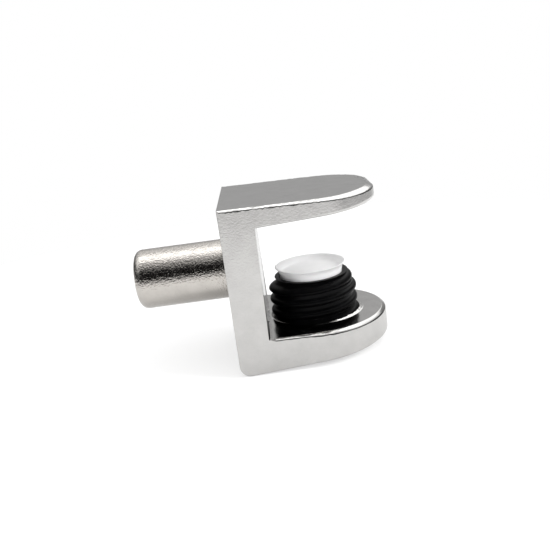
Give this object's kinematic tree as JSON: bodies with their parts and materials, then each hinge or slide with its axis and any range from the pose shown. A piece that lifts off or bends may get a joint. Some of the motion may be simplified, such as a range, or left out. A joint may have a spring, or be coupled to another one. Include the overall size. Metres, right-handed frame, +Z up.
{
  "type": "shelf support pin",
  "caption": "Glass shelf clamp on a 5 mm cabinet peg: cast U-shaped bracket, threaded clamping plug and soft glass pad.",
  "frame": {"origin": "on the peg's axis, at the back face that lies against the cabinet side", "axes": "+X along the jaws away from the cabinet, +Z up, the screw's axis parallel to Z"},
  "size_m": [0.0204, 0.012, 0.0135],
  "materials": {
    "bracket_metal": "satin nickel plating on a zinc die casting",
    "screw_plastic": "black moulded plastic, lightly glossy",
    "pad_plastic": "milky translucent soft plastic"
  },
  "bodies": {
    "bracket": {"bracket": "bracket_metal"},
    "pad": {"glass_pad": "pad_plastic"},
    "screw": {"clamp_screw": "screw_plastic"}
  },
  "joints": [
    {"name": "pad_lift", "type": "slide", "parent": "bracket", "child": "pad", "axis": [0, 0, 1], "range_m": [-0.0035, 0.001]},
    {"name": "screw_turn", "type": "hinge", "parent": "pad", "child": "screw", "pos_m": [0.00675, 0, -0.004], "axis": [0, 0, 1], "range_deg": [-1260, 360]}
  ],
  "couplings": [
    {"joint": "screw_turn", "follows": "pad_lift", "rad_per_m": 6283.2}
  ]
}
